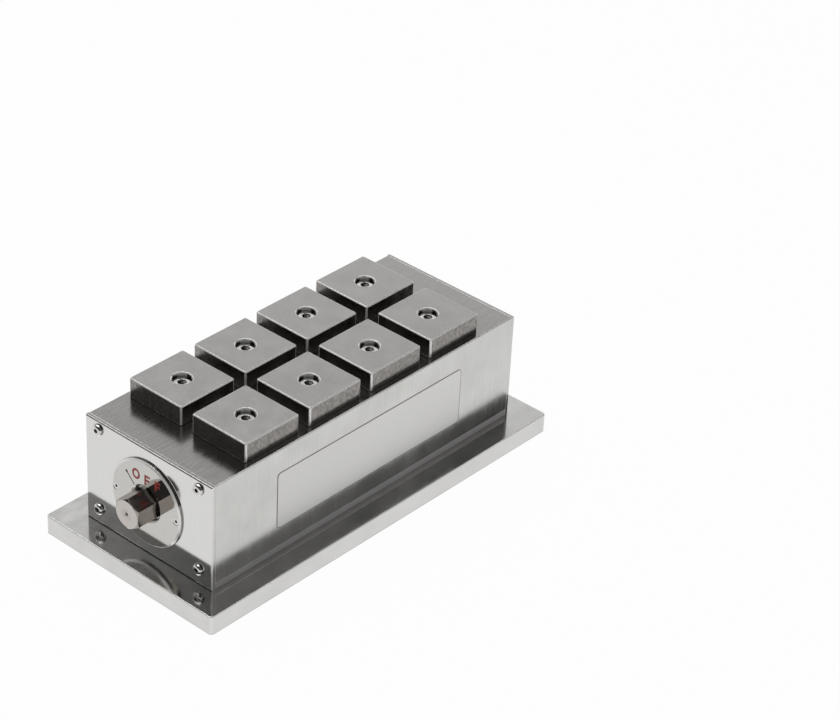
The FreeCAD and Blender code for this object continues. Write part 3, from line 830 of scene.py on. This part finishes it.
def make_floor(stage):
    """Wide pale floor that keeps the object's shadow."""
    mesh = bpy.data.meshes.new("floor")
    corners = [(x * FLOOR_REACH, y * FLOOR_REACH, 0) for x, y in ((-1, -1), (1, -1), (1, 1), (-1, 1))]
    mesh.from_pydata(corners, [], [(0, 1, 2, 3)])
    floor = bpy.data.objects.new("floor", mesh)
    bpy.context.scene.collection.objects.link(floor)
    colour = {"Color": (*stage.floor, 1)}
    material, tree, shader = surface("floor_pale", colour, "ShaderNodeBsdfDiffuse")
    glow = add_node(tree, "ShaderNodeEmission", {"Color": (1, 1, 1, 1), "Strength": 1.0})
    share = maths(tree, "MULTIPLY", seen_plainly(tree), stage.floor_glow)
    blend = add_node(tree, "ShaderNodeMixShader", {0: share, 1: shader.outputs[0], 2: glow.outputs[0]})
    output = next(n for n in tree.nodes if n.type == "OUTPUT_MATERIAL")
    tree.links.new(blend.outputs[0], output.inputs["Surface"])
    mesh.materials.append(material)


def make_world(stage):
    """Soft studio: bright ahead and overhead, a dark screen at each side, white to the eye."""
    world = bpy.data.worlds.new("studio")
    bpy.context.scene.world = world
    world.use_nodes = True
    tree = world.node_tree
    tree.nodes.clear()
    direction = add_node(tree, "ShaderNodeTexCoord").outputs["Generated"]
    split = add_node(tree, "ShaderNodeSeparateXYZ", {"Vector": direction}).outputs
    turn = maths(tree, "ARCTAN2", split["Y"], split["X"])
    walls = add_node(tree, "ShaderNodeValToRGB", {"Fac": remap(tree, turn, -math.pi, math.pi)})
    stops = walls.color_ramp.elements
    while len(stops) > 1:
        stops.remove(stops[-1])
    spans = (
        (-180, -100, stage.near_wall), (-62, -45, stage.right_wall), (-41, -15, stage.dark),
        (5, 88, stage.ahead), (110, 133, stage.left_wall), (135, 165, stage.dark),
        (180, 180, stage.near_wall),
    )
    levels = dict((degrees, level) for start, end, level in spans for degrees in (start, end))
    for index, (degrees, level) in enumerate(levels.items()):
        stop = stops[0] if index == 0 else stops.new(degrees / 360 + 0.5)
        stop.position = degrees / 360 + 0.5
        stop.color = (*grey(level), 1)
    aside = math.cos(stage.ceiling_elevation)
    centre = (
        aside * math.cos(stage.ceiling_azimuth), aside * math.sin(stage.ceiling_azimuth),
        math.sin(stage.ceiling_elevation),
    )
    nearness = add_node(
        tree, "ShaderNodeVectorMath", {0: direction, 1: centre}, operation="DOT_PRODUCT"
    ).outputs["Value"]
    soft_rim = math.radians(5)
    overhead = remap(
        tree, nearness, math.cos(stage.ceiling_spread + soft_rim),
        math.cos(stage.ceiling_spread - soft_rim), smooth=True,
    )
    foot_height, foot_gain = math.sin(math.radians(27)), 1.75
    crown_height, crown_gain = math.sin(math.radians(37)), 0.45
    low_down = remap(tree, split["Z"], crown_height, foot_height, crown_gain, foot_gain)
    forward = remap(tree, split["X"], 0.1, 0.5)
    fall = maths(tree, "MULTIPLY_ADD", maths(tree, "SUBTRACT", low_down, 1.0), forward, 1.0)
    graded = darkened(tree, walls.outputs["Color"], fall)
    lifted = mixed(tree, overhead, graded, grey(stage.ceiling))
    path = add_node(tree, "ShaderNodeLightPath").outputs
    mirrored = maths(tree, "MAXIMUM", path["Is Glossy Ray"], path["Is Transmission Ray"])
    reflected = mixed(tree, mirrored, grey(stage.daylight), lifted)
    shown = mixed(tree, path["Is Camera Ray"], reflected, grey(1.0))
    background = add_node(tree, "ShaderNodeBackground", {"Color": shown, "Strength": 1.0})
    add_node(tree, "ShaderNodeOutputWorld", {"Surface": background.outputs[0]})


def make_lights(stage):
    """Large soft key above and to the left of the camera."""
    lamp = bpy.data.lights.new("key", "AREA")
    lamp.shape = "RECTANGLE"
    lamp.size, lamp.size_y = 1.4, 1.0
    lamp.energy = stage.key
    key = bpy.data.objects.new("key", lamp)
    bpy.context.scene.collection.objects.link(key)
    key.location = (-0.3, 0.5, 1.6)
    aim = Vector((0, 0, 0.05)) - key.location
    key.rotation_euler = aim.to_track_quat("-Z", "Y").to_euler()


def make_camera(stage):
    """Long-lens camera with a slight roll."""
    camera = bpy.data.objects.new("camera", bpy.data.cameras.new("camera"))
    bpy.context.scene.collection.objects.link(camera)
    camera.data.lens = stage.lens
    camera.data.clip_start = 0.01
    camera.data.clip_end = 50
    a, e, r = stage.azimuth, stage.elevation, stage.roll
    back = Vector((math.sin(a) * math.cos(e), -math.cos(a) * math.cos(e), math.sin(e)))
    right = Vector((math.cos(a), math.sin(a), 0))
    up = back.cross(right)
    x_axis = right * math.cos(r) + up * math.sin(r)
    y_axis = up * math.cos(r) - right * math.sin(r)
    turn = Matrix((x_axis, y_axis, back)).transposed().to_4x4()
    camera.matrix_world = Matrix.Translation(Vector(stage.location)) @ turn
    bpy.context.scene.camera = camera


# --- Panel and registration ----------------------------------------------------

OPERATORS = (
    CHUCK_OT_body_steel,
    CHUCK_OT_base_steel,
    CHUCK_OT_pole_iron,
    CHUCK_OT_drive,
    CHUCK_OT_screws,
    CHUCK_OT_inner_parts,
    CHUCK_OT_dial_letters,
    CHUCK_OT_index_marks,
    CHUCK_OT_side_plate,
    CHUCK_OT_stage,
)
GROUPS = {
    "chuck_finishes": ChuckFinishes,
    "chuck_dial": ChuckDial,
    "chuck_label": ChuckLabel,
    "chuck_stage": ChuckStage,
}


class CHUCK_PT_panel(bpy.types.Panel):
    """Buttons that build each group, with its settings"""

    bl_idname = "CHUCK_PT_panel"
    bl_label = "Magnetic Chuck"
    bl_space_type = "VIEW_3D"
    bl_region_type = "UI"
    bl_category = "Chuck"

    def draw(self, context):
        for operator in OPERATORS:
            self.layout.operator(operator.bl_idname)
        for name, group in GROUPS.items():
            box = self.layout.box()
            box.label(text=group.__doc__)
            for key in group.__annotations__:
                box.prop(getattr(context.scene, name), key)


def register():
    """Register the classes and their settings."""
    for kind in (*GROUPS.values(), *OPERATORS, CHUCK_PT_panel):
        bpy.utils.register_class(kind)
    for name, group in GROUPS.items():
        setattr(bpy.types.Scene, name, PointerProperty(type=group))


def unregister():
    """Take away what register adds."""
    for name in GROUPS:
        delattr(bpy.types.Scene, name)
    for kind in reversed((*GROUPS.values(), *OPERATORS, CHUCK_PT_panel)):
        bpy.utils.unregister_class(kind)


def main():
    """Build everything in order."""
    register()
    for operator in OPERATORS:
        group, name = operator.bl_idname.split(".")
        getattr(getattr(bpy.ops, group), name)()


if __name__ == "__main__":
    main()
